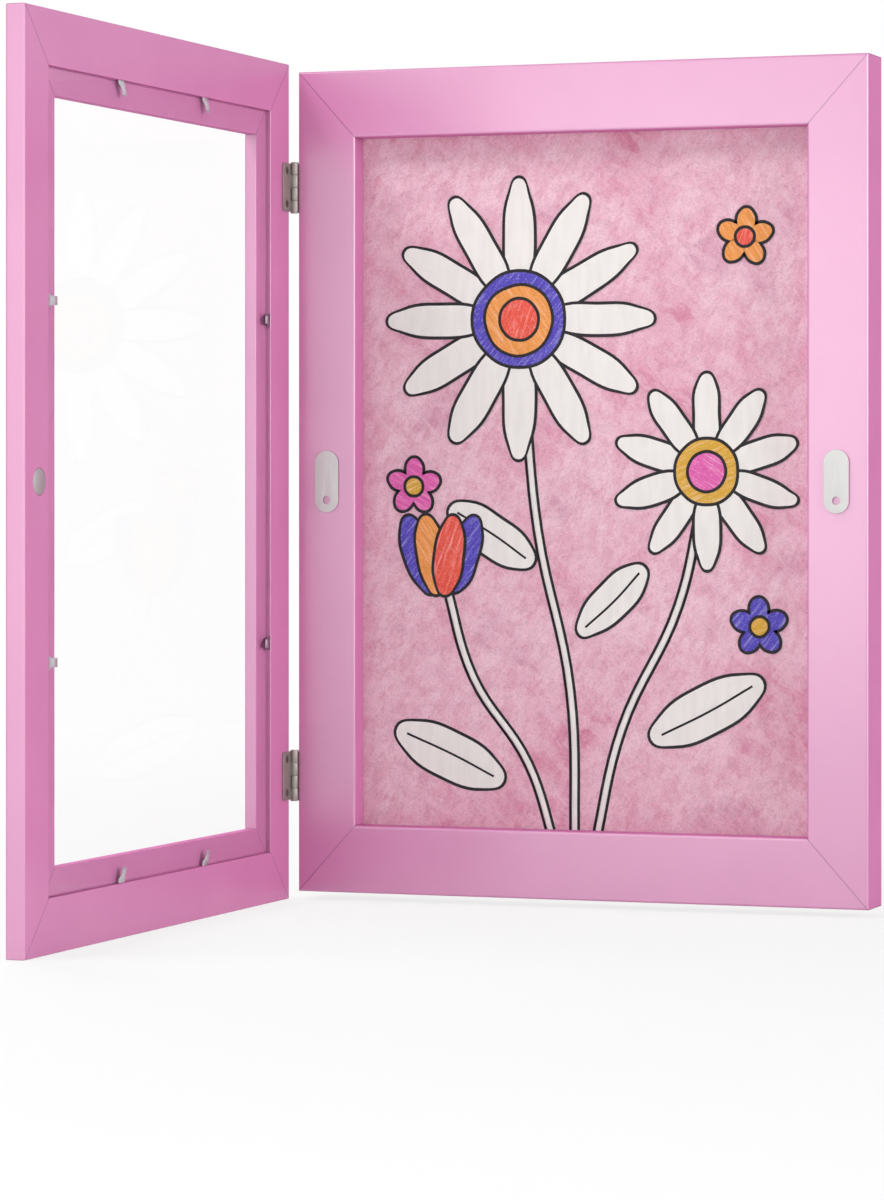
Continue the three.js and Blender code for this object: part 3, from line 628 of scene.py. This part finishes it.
class Drawing:
    """Collects flat shapes by colour and lays each coat a little in front of the one before."""

    def __init__(self, look, front, height):
        self.look = look
        self.front = front
        self.height = height
        self.shapes = {}
        self.seed = 0

    def plane(self, x, z, turn, level):
        """Where a shape drawn flat in x and y comes to lie on the sheet."""
        forward = self.look.coat * (level + 1) * COAT_STEP
        place = Vector((x * MM, self.front - forward, self.height + z * MM))
        upright = Matrix.Rotation(RIGHT_ANGLE, 4, "X")
        return Matrix.Translation(place) @ upright @ Matrix.Rotation(math.radians(turn), 4, "Z")

    def patch(self, shade, x, z, across, along, turn, level, grow):
        """A filled, hand-drawn oval."""
        look = self.look
        bpy.ops.curve.primitive_bezier_circle_add(radius=1, location=(0, 0, 0))
        oval = bpy.context.active_object
        bpy.ops.object.mode_set(mode="EDIT")
        bpy.ops.curve.select_all(action="SELECT")
        bpy.ops.curve.subdivide(number_cuts=1)
        bpy.ops.transform.resize(value=(across * MM + grow, along * MM + grow, 1))
        stray = min(look.wobble, STRAY_SHARE * along * MM)
        bpy.ops.transform.vertex_random(offset=stray, seed=self.seed)
        bpy.ops.curve.handle_type_set(type="AUTOMATIC")
        bpy.ops.object.mode_set(mode="OBJECT")
        oval.data.dimensions = "2D"
        oval.data.fill_mode = "BOTH"
        oval.data.resolution_u = 6
        oval.data.extrude = look.coat / 2
        oval.matrix_world = self.plane(x, z, turn, level)
        self.shapes.setdefault(shade, []).append(oval)

    def outlined(self, shade, x, z, across, along, turn, level):
        """An oval with a black outline around it."""
        self.seed += 1
        half = self.look.ink / 2
        self.patch("black", x, z, across, along, turn, level, half)
        self.patch(shade, x, z, across, along, turn, level + 1, -half)

    def line(self, shade, points, width, level):
        """A pen line through points."""
        bpy.ops.curve.primitive_bezier_curve_add(location=(0, 0, 0))
        pen = bpy.context.active_object
        spline = pen.data.splines[0]
        spline.bezier_points.add(len(points) - len(spline.bezier_points))
        for knot, (x, z) in zip(spline.bezier_points, points):
            knot.co = (x * MM, z * MM, 0)
            knot.handle_left_type = "AUTO"
            knot.handle_right_type = "AUTO"
        pen.data.bevel_depth = width / 2
        pen.data.bevel_resolution = 1
        pen.data.use_fill_caps = True
        pen.data.resolution_u = 8
        flat = Matrix.Diagonal((1, 1, self.look.coat / width, 1))
        pen.matrix_world = self.plane(0, 0, 0, level) @ flat
        self.shapes.setdefault(shade, []).append(pen)

    def flower(self, x, z, reach, count, heart, rings):
        """Petals in two layers around a heart, and the heart's coloured discs with their radii."""
        along = (reach - 0.5 * heart) / 2
        out = 0.5 * heart + along
        across = PETAL_SHARE * math.pi * out / count
        for layer in (0, 1):
            for i in range(layer, count, 2):
                turn = 360 * i / count
                right = x - math.sin(math.radians(turn)) * out
                up = z + math.cos(math.radians(turn)) * out
                self.outlined("white", right, up, across, along, turn, 4 + 2 * layer)
        for step, (shade, radius) in enumerate(rings.items()):
            self.outlined(shade, x, z, radius, radius, 20 * step, 8 + 2 * step)

    def leaf(self, x, z, across, along, turn):
        """A white leaf with a slightly bowed midrib that ends short of its tips."""
        self.outlined("white", x, z, across, along, turn, 2)
        right = 0.8 * along * math.sin(math.radians(turn))
        up = 0.8 * along * math.cos(math.radians(turn))
        midrib = [(x + right, z - up), (x + 0.06 * along, z), (x - right, z + up)]
        self.line("black", midrib, 0.7 * self.look.ink, 4)

    def stem(self, points):
        """A white stem between two black lines."""
        self.line("black", points, 3.6 * self.look.ink, 0)
        self.line("white", points, 1.8 * self.look.ink, 1)


def draw_flowers(drawing):
    """A bunch of simple flowers with coloured hearts, buds and leaves."""
    foot = -150
    drawing.stem([(-26, 40), (-20, -20), (-6, -85), (-4, foot)])
    drawing.stem([(50, -8), (40, -50), (16, -100), (4, foot)])
    drawing.stem([(-60, -42), (-48, -80), (-24, -115), (-12, foot)])
    drawing.leaf(-40, -22, 9, 22, 58)
    drawing.leaf(12, -48, 8, 20, -46)
    drawing.leaf(52, -92, 10, 27, -62)
    drawing.leaf(-58, -112, 10, 26, 66)
    drawing.flower(-28, 66, 58, 12, 19, {"violet": 20, "orange": 14.5, "red": 8.5})
    drawing.flower(52, 4, 40, 10, 13, {"ochre": 13.5, "rose": 8})
    for shade, x, across, turn, level in (
        ("violet", -9.5, 7, 20, 4),
        ("violet", 9.5, 7, -20, 4),
        ("orange", -4.5, 6.5, 8, 6),
        ("red", 3.5, 6.5, -6, 8),
    ):
        drawing.outlined(shade, -62 + x, -30, across, 17, turn, level)
    for x, z, petal, heart in (
        (68, 98, "orange", "red"),
        (-74, -2, "rose", "ochre"),
        (74, -58, "violet", "ochre"),
    ):
        for i in range(5):
            turn = 72 * i + x
            right = x - 6.5 * math.sin(math.radians(turn))
            up = z + 6.5 * math.cos(math.radians(turn))
            drawing.outlined(petal, right, up, 4.2, 5.6, turn, 4)
        drawing.outlined(heart, x, z, 4, 4, 0, 6)


# Operators: one for each piece or group of like pieces


class ART_FRAME_OT_mouldings(bpy.types.Operator):
    """Paints the eight mouldings"""

    bl_idname = "art_frame.mouldings"
    bl_label = "Painted mouldings"

    def execute(self, context):
        for body, stiles, axis in (("frame", ("left", "right"), 0), ("door", ("hinge", "free"), 1)):
            members = ["top_rail", "bottom_rail", *(f"{side}_stile" for side in stiles)]
            names = [f"{body}_{member}" for member in members]
            finish_nodes(satin_paint(body, names, axis), names)
        return {"FINISHED"}


class ART_FRAME_OT_sheet(bpy.types.Operator):
    """Makes the displayed sheet: thin paper with the slight waves that water leaves"""

    bl_idname = "art_frame.sheet"
    bl_label = "Displayed sheet"

    def execute(self, context):
        look = context.scene.art_frame_sheet
        low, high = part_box("display_sheet")
        width, height = high.x - low.x, high.z - low.z
        sheet = primitive(
            "grid",
            scale=(width, height, 1),
            x_subdivisions=round(width / look.cell),
            y_subdivisions=round(height / look.cell),
            size=1,
            location=((low.x + high.x) / 2, low.y + look.cockle, (low.z + high.z) / 2),
            rotation=(RIGHT_ANGLE, 0, 0),
        )
        waves = bpy.data.textures.new("paper_waves", "CLOUDS")
        waves.noise_scale = look.cockle_size
        add_modifier(sheet, "DISPLACE", texture=waves, strength=2 * look.cockle, mid_level=0.5)
        add_modifier(sheet, "SOLIDIFY", thickness=look.thickness, offset=-1)
        clean_shell(sheet)
        smooth(sheet)
        paper = watercolour_paper()
        finish_piece(sheet, "painted_sheet", "frame", "painted_sheet", paper, "display_sheet")
        return {"FINISHED"}


class ART_FRAME_OT_drawing(bpy.types.Operator):
    """Draws simple flowers on the sheet in ink, gouache and coloured pencil"""

    bl_idname = "art_frame.drawing"
    bl_label = "Drawing"

    def execute(self, context):
        look = context.scene.art_frame_drawing
        low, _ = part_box("display_sheet")
        front = low.y - context.scene.art_frame_sheet.cockle
        drawing = Drawing(look, front, middle("frame_left_stile").z)
        draw_flowers(drawing)
        materials = {"black": marker_ink(), "white": gouache()}
        hatching = {"violet": 40, "orange": -35, "red": 20, "rose": -60, "ochre": 65}
        for shade, turn in hatching.items():
            materials[shade] = coloured_pencil(f"{shade}_pencil", getattr(look, shade), turn)
        for shade, shapes in drawing.shapes.items():
            select_only(*shapes)
            bpy.ops.object.convert(target="MESH")
            bpy.ops.object.join()
            whole = apply_place(context.active_object)
            clean_shell(whole)
            finish_piece(whole, f"drawing_{shade}", "frame", "painted_sheet", materials[shade])
        return {"FINISHED"}


class ART_FRAME_OT_pocket(bpy.types.Operator):
    """Finishes the stored sheets, the filler card and the backboard"""

    bl_idname = "art_frame.pocket"
    bl_label = "Stored sheets and boards"

    def execute(self, context):
        drawing_paper = layered_stock("drawing_paper", "#F3F0E8", "#CFC8BC", 0.2 * MM, 0.85)
        finish_nodes(drawing_paper, ["stored_sheets"])
        card = layered_stock("corrugated_card", "#C4A27A", "#9A7A55", 0.7 * MM, 0.9)
        finish_nodes(card, ["filler_card"])
        finish_nodes(hardboard(), ["backboard"])
        return {"FINISHED"}


class ART_FRAME_OT_pane(bpy.types.Operator):
    """Finishes the clear pane in the door"""

    bl_idname = "art_frame.pane"
    bl_label = "Pane"

    def execute(self, context):
        finish_nodes(clear_acrylic(), ["glazing_pane"])
        return {"FINISHED"}


class ART_FRAME_OT_points(bpy.types.Operator):
    """Makes the bent glazing points of the door and the flat points of the backboard"""

    bl_idname = "art_frame.points"
    bl_label = "Glazing points"

    def point(self, look, rise):
        """One point: root along -X in the wood, tip along +X, bent up towards +Z."""
        root = look.point_embed + look.point_straight
        item = primitive(
            "plane",
            scale=(root, look.point_width, 1),
            size=1,
            location=(look.point_straight - root / 2, 0, 0),
        )
        open_mesh(item)
        pick("VERT", lambda co: co.x < 0)
        bpy.ops.mesh.bevel(offset=look.point_corner, segments=1, affect="VERTICES")
        pick("EDGE", lambda co: co.x > look.point_straight - NEAR)
        steps = 6
        span = look.point_reach - look.point_straight
        width = look.point_width
        for step in range(1, steps + 1):
            before, after = (math.sin(0.5 * math.pi * i / steps) for i in (step - 1, step))
            move = (span / steps, 0, rise * (after - before))
            bpy.ops.mesh.extrude_region_move(TRANSFORM_OT_translate={"value": move})
            wanted = look.point_width + (look.point_tip - look.point_width) * min(1, step / 2)
            bpy.ops.transform.resize(value=(1, wanted / width, 1))
            width = wanted
        close_mesh()
        add_modifier(item, "SOLIDIFY", thickness=look.point_thickness, offset=1)
        clean_shell(item)
        round_edges(item, look.point_edge)
        return item

    def place(self, look, node, centre, out):
        """Where a point lies: root at the end of its node's box that is away from the middle."""
        low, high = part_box(node)
        size = high - low
        along = max((i for i in range(3) if not out[i]), key=lambda i: size[i])
        tip = Vector()
        tip[along] = 1 if centre[along] > (low[along] + high[along]) / 2 else -1
        wood = (low + high) / 2
        wood[along] = (low if tip[along] > 0 else high)[along] + tip[along] * look.point_embed
        level = out.to_tuple().index(1)
        wood[level] = low[level]
        turned = Matrix((tip, out.cross(tip), out)).transposed()
        return Matrix.Translation(wood) @ turned.to_4x4()

    def execute(self, context):
        look = context.scene.art_frame_fittings
        steel = sheet_metal("galvanised_points", "#D3D0D6", "#A9A6AC", 0.3, 0.25 * MM, 0)
        doors = middle("door_free_stile").lerp(middle("door_hinge_stile"), 0.5)
        kinds = (
            ("glazing_point", look.point_rise, 8, doors, Vector((1, 0, 0)), "door"),
            ("back_point", 0, 6, middle("backboard"), Vector((0, 1, 0)), "frame"),
        )
        for kind, rise, count, centre, out, body in kinds:
            model = self.point(look, rise)
            for i in range(1, count + 1):
                node = f"{kind}_{i}"
                twin = placed_copy(model, self.place(look, node, centre, out))
                finish_piece(twin, f"{kind}_bar_{i}", body, "bright_steel", steel, node)
            bpy.data.objects.remove(model)
        return {"FINISHED"}


class ART_FRAME_OT_hinges(bpy.types.Operator):
    """Makes the hinge leaves with their rolled knuckles, and finishes pins and screws"""

    bl_idname = "art_frame.hinges"
    bl_label = "Hinges"

    def leaf(self, look, rows):
        """A leaf in its own space: axis along Z, leaf along +X, wood side towards -Y."""
        centre_line = look.barrel_radius - look.leaf_thickness / 2
        plane = centre_line + look.leaf_clear
        limit = look.leaf_height / 2
        pitch = look.barrel_height / 4
        tops = [look.barrel_height / 2 - row * pitch - look.knuckle_gap / 2 for row in rows]
        spans = [(top - pitch + look.knuckle_gap, top) for top in tops]
        item = primitive(
            "plane",
            scale=(look.leaf_reach - look.leaf_root, look.leaf_height, 1),
            size=1,
            location=((look.leaf_root + look.leaf_reach) / 2, -plane, 0),
            rotation=(RIGHT_ANGLE, 0, 0),
        )
        open_mesh(item)
        pick("VERT", lambda co: co.x > look.leaf_reach / 2)
        bpy.ops.mesh.bevel(offset=look.leaf_corner, segments=5, affect="VERTICES")
        for level in sum(spans, ()):
            if abs(level) < limit:
                bpy.ops.mesh.select_all(action="SELECT")
                bpy.ops.mesh.bisect(plane_co=(0, 0, level), plane_no=(0, 0, 1))
        root = look.leaf_root + NEAR
        pick("EDGE", lambda co: co.x < root and any(low < co.z < high for low, high in spans))
        to_axis = (-look.leaf_root, plane - centre_line, 0)
        bpy.ops.mesh.extrude_region_move(TRANSFORM_OT_translate={"value": to_axis})
        rise = (look.barrel_height - look.knuckle_gap) / 2 - limit
        for end in (-1, 1):
            pick("VERT", lambda co: co.x < NEAR and end * co.z > limit - NEAR)
            bpy.ops.transform.translate(value=(0, 0, end * rise))
        pick("EDGE", lambda co: co.x < NEAR)
        roll = math.radians(295)
        bpy.ops.mesh.spin(steps=20, angle=roll, center=(0, 0, 0), axis=(0, 0, 1), use_auto_merge=False)
        close_mesh()
        clean_shell(item)
        add_modifier(item, "SOLIDIFY", thickness=look.leaf_thickness, offset=0, use_even_offset=True)
        wide = look.screw_head + look.cutter_over
        for end in (-1, 1):
            drill = primitive(
                "cone",
                vertices=32,
                radius1=wide - look.screw_slope,
                radius2=wide,
                depth=look.screw_depth,
                location=(look.screw_reach, look.leaf_clear - plane, end * look.screw_spacing / 2),
                rotation=(-RIGHT_ANGLE, 0, 0),
            )
            drill_out(item, drill)
        clean_shell(item)
        round_edges(item, look.leaf_edge)
        return item

    def execute(self, context):
        look = context.scene.art_frame_fittings
        steel = sheet_metal("brushed_nickel_plate", "#ACA5A0", "#98908B", 0.46, 0.12 * MM, 2, 0.6)
        # The screws' steel is made darker than the leaves' to paint the shade in their countersunk
        # holes.
        shade_dark_screw_steel = sheet_metal("screw_steel_darkened_as_shade", "#8C8884", "#6F6B68", 0.4, 0.3 * MM, 1)
        leaves = (("door", self.leaf(look, (0, 2)), -1), ("frame", self.leaf(look, (1, 3)), 1))
        for name in ("upper_hinge", "lower_hinge"):
            pin = f"{name}_pin"
            place = Matrix.Translation((HINGE_AXIS.x, HINGE_AXIS.y, middle(pin).z))
            for body, leaf, way in leaves:
                twin = placed_copy(leaf, place @ Matrix.Rotation(way * RIGHT_ANGLE, 4, "Z"))
                node = f"{name}_{body}_leaf"
                finish_piece(twin, f"{node}_rolled", body, "hinge_steel", steel, node)
            finish_nodes(steel, [pin])
            finish_nodes(shade_dark_screw_steel, [f"{name}_{body}_screw_{i}" for body in BODIES for i in (1, 2)])
        for _, leaf, _ in leaves:
            bpy.data.objects.remove(leaf)
        return {"FINISHED"}


class ART_FRAME_OT_strikes(bpy.types.Operator):
    """Makes the two pill-shaped strike plates and finishes their pads"""

    bl_idname = "art_frame.strikes"
    bl_label = "Strike plates"

    def execute(self, context):
        look = context.scene.art_frame_fittings
        steel = sheet_metal("nickel_plated_strike", "#E0E1DF", "#DADBD9", 0.6, 0.3 * MM, 2, 0.06)
        width, thickness, height = (extent("right_strike_plate", axis) for axis in range(3))
        radius = width / 2
        straight = height / 2 - radius
        plate = primitive(
            "cylinder",
            vertices=72,
            radius=radius,
            depth=thickness,
            rotation=(RIGHT_ANGLE, 0, 0),
        )
        open_mesh(plate)
        for end in (1, -1):
            pick("VERT", lambda co: end * co.z > NEAR)
            bpy.ops.transform.translate(value=(0, 0, end * straight))
        close_mesh()
        drill = primitive(
            "cylinder",
            vertices=40,
            radius=look.plate_hole,
            depth=2 * thickness,
            location=(0, 0, -look.plate_drop),
            rotation=(RIGHT_ANGLE, 0, 0),
        )
        drill_out(plate, drill)
        clean_shell(plate)
        round_edges(plate, look.plate_edge, 3)
        for side in ("left", "right"):
            node = f"{side}_strike_plate"
            twin = placed_copy(plate, Matrix.Translation(middle(node)))
            finish_piece(twin, f"{side}_strike", "frame", "strike_steel", steel, node)
        bpy.data.objects.remove(plate)
        pad = layered_stock("foam_tape", "#E4E4DF", "#D2D2CC", 0.3 * MM, 0.8)
        finish_nodes(pad, ["left_strike_pad", "right_strike_pad"])
        return {"FINISHED"}


class ART_FRAME_OT_magnet(bpy.types.Operator):
    """Makes the round magnet let into the door"""

    bl_idname = "art_frame.magnet"
    bl_label = "Magnet"

    def execute(self, context):
        look = context.scene.art_frame_fittings
        low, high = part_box("magnet")
        disc = primitive(
            "cylinder",
            vertices=64,
            radius=(high.z - low.z) / 2,
            depth=high.x - low.x,
            location=(low + high) / 2,
            rotation=(0, RIGHT_ANGLE, 0),
        )
        open_mesh(disc)
        pick("FACE", lambda co: co.x > high.x - NEAR or co.x < low.x + NEAR)
        bpy.ops.mesh.bevel(offset=look.magnet_edge, segments=2, affect="EDGES")
        close_mesh()
        smooth(disc, 40)
        plating = sheet_metal("nickel_plated_magnet", "#C2C6C4", "#B6BAB8", 0.42, 0.2 * MM, 1)
        finish_piece(disc, "magnet_disc", "door", "magnet_nickel", plating, "magnet")
        return {"FINISHED"}


class ART_FRAME_OT_hangers(bpy.types.Operator):
    """Finishes the sawtooth hangers, their nails and the nails across the mitres"""

    bl_idname = "art_frame.hangers"
    bl_label = "Hangers and nails"

    def execute(self, context):
        zinc = sheet_metal("zinc_plated_steel", "#C6C3B4", "#9D9A8C", 0.34, 0.4 * MM, 0)
        for way in ("portrait", "landscape"):
            hanger = f"{way}_hanger"
            finish_nodes(zinc, [hanger, f"{hanger}_nail_1", f"{hanger}_nail_2"])
        for body in BODIES:
            finish_nodes(zinc, [f"{body}_corner_nail_{i}" for i in range(1, 5)])
        return {"FINISHED"}


class ART_FRAME_OT_studio(bpy.types.Operator):
    """Makes the pale floor, the soft lamps, the white surroundings and the camera"""

    bl_idname = "art_frame.studio"
    bl_label = "Studio"

    def lamp(self, name, place, watts, width, height, target):
        """A softbox that faces the frame and isn't seen by the camera."""
        bpy.ops.object.light_add(type="AREA", location=place)
        lamp = bpy.context.active_object
        lamp.name = name
        lamp.data.shape = "RECTANGLE"
        lamp.data.size = width
        lamp.data.size_y = height
        lamp.data.energy = watts
        lamp.rotation_euler = (target - Vector(place)).to_track_quat("-Z", "Y").to_euler()
        lamp.visible_camera = False

    def seen(self, owner):
        """1 for what the camera, metal and glass see, and 0 for what lights the object.

        Light that reaches a matt surface through the pane, or off a glossy one, lights the
        object too, so nothing is white after a diffuse bounce.
        """
        path = add_node(owner, "LightPath").outputs
        either = path["Is Camera Ray"]
        for ray in ("Is Glossy Ray", "Is Transmission Ray"):
            either = add_node(owner, "Math", (either, path[ray]), operation="MAXIMUM")
        direct = add_node(owner, "Math", (path["Diffuse Depth"], 0.5), operation="LESS_THAN")
        return add_node(owner, "Math", (either, direct), operation="MULTIPLY")

    def floor_material(self):
        """Pale matt floor that fades to white away from the object and keeps its soft shadow."""
        near, far = 0.35, 1.3
        floor, place = new_material("pale_studio_floor")
        away = add_node(floor, "VectorMath", (place,), operation="LENGTH")
        white_share = add_node(
            floor, "MapRange", (away, near, far, 0.8, 1.0), interpolation_type="SMOOTHSTEP"
        )
        factor = add_node(floor, "Math", (self.seen(floor), white_share), operation="MULTIPLY")
        matt = add_node(floor, "BsdfDiffuse", {"Color": (0.8, 0.8, 0.8, 1)})
        white = add_node(floor, "Emission", {"Color": (1, 1, 1, 1), "Strength": 1.0})
        mixed = add_node(floor, "MixShader", (factor, matt, white))
        add_node(floor, "OutputMaterial", {"Surface": mixed})
        return floor

    def surroundings(self, look):
        """White to the camera, metal and glass, and a weak even light on the object."""
        world = bpy.data.worlds.new("white_surroundings")
        bpy.context.scene.world = world
        world.use_nodes = True
        world.node_tree.nodes.clear()
        weak = add_node(world, "Background", {"Color": (1, 1, 1, 1), "Strength": look.ambient})
        white = add_node(world, "Background", {"Color": (1, 1, 1, 1), "Strength": 1.0})
        mixed = add_node(world, "MixShader", (self.seen(world), weak, white))
        add_node(world, "OutputWorld", {"Surface": mixed})

    def execute(self, context):
        look = context.scene.art_frame_studio
        middle_height = middle("frame_left_stile").z
        bpy.ops.object.select_all(action="DESELECT")
        bpy.ops.mesh.primitive_circle_add(
            vertices=96,
            radius=look.floor_radius,
            fill_type="NGON",
            location=(0, 0, CAD_LOW.z - look.floor_gap),
        )
        floor = context.active_object
        floor.name = "studio_floor"
        floor.data.materials.append(self.floor_material())
        target = Vector((0, -look.aim_front, middle_height))
        for name, place, watts, width, height in (
            ("front", (0.22, -0.9, 0.3), look.front, 0.3, 0.4),
            ("left", (-0.32, -1.2, 0.24), look.left, 0.4, 0.5),
            ("right", (1.95, -0.42, 0.6), look.right, 1.0, 1.2),
            ("top", (-0.8, -0.8, 1.4), look.top, 0.8, 0.6),
            ("back", (-1.5, 1.2, 1.3), look.back, 1.2, 1.2),
        ):
            self.lamp(f"{name}_softbox", place, watts, width, height, target)
        self.surroundings(look)
        bpy.ops.object.camera_add(
            location=(look.camera_right, -look.camera_front, middle_height),
            rotation=(RIGHT_ANGLE, 0, look.heading),
        )
        camera = context.active_object
        camera.name = "studio_camera"
        camera.data.sensor_width = SENSOR
        camera.data.lens = look.lens
        camera.data.shift_x = (PICTURE_WIDTH / 2 - SIGHT_X) / PICTURE_HEIGHT
        camera.data.shift_y = (SIGHT_Y - PICTURE_HEIGHT / 2) / PICTURE_HEIGHT
        camera.data.clip_end = 50
        context.scene.camera = camera
        context.scene.view_settings.view_transform = "Standard"
        return {"FINISHED"}


OPERATORS = (
    ART_FRAME_OT_mouldings,
    ART_FRAME_OT_sheet,
    ART_FRAME_OT_drawing,
    ART_FRAME_OT_pocket,
    ART_FRAME_OT_pane,
    ART_FRAME_OT_points,
    ART_FRAME_OT_hinges,
    ART_FRAME_OT_strikes,
    ART_FRAME_OT_magnet,
    ART_FRAME_OT_hangers,
    ART_FRAME_OT_studio,
)


class ART_FRAME_PT_panel(bpy.types.Panel):
    """Lists the steps that dress the art frame"""

    bl_idname = "ART_FRAME_PT_panel"
    bl_label = "Art Frame"
    bl_space_type = "VIEW_3D"
    bl_region_type = "UI"
    bl_category = "Art Frame"

    def draw(self, context):
        column = self.layout.column(align=True)
        for step in OPERATORS:
            column.operator(step.bl_idname)
        for name in SETTINGS:
            box = self.layout.box()
            box.label(text=name.removeprefix("art_frame_").title())
            for item in getattr(context.scene, name).bl_rna.properties:
                if item.identifier not in {"rna_type", "name"}:
                    box.prop(getattr(context.scene, name), item.identifier)


def register():
    """Registers the settings, the operators and the panel."""
    for name, group in SETTINGS.items():
        bpy.utils.register_class(group)
        setattr(bpy.types.Scene, name, bpy.props.PointerProperty(type=group))
    for item in (*OPERATORS, ART_FRAME_PT_panel):
        bpy.utils.register_class(item)


def unregister():
    """Takes them off again."""
    for item in reversed((*OPERATORS, ART_FRAME_PT_panel)):
        bpy.utils.unregister_class(item)
    for name, group in SETTINGS.items():
        delattr(bpy.types.Scene, name)
        bpy.utils.unregister_class(group)


def main():
    """Dresses the frame."""
    register()
    for step in OPERATORS:
        area, name = step.bl_idname.split(".")
        getattr(getattr(bpy.ops, area), name)()


if __name__ == "__main__":
    main()
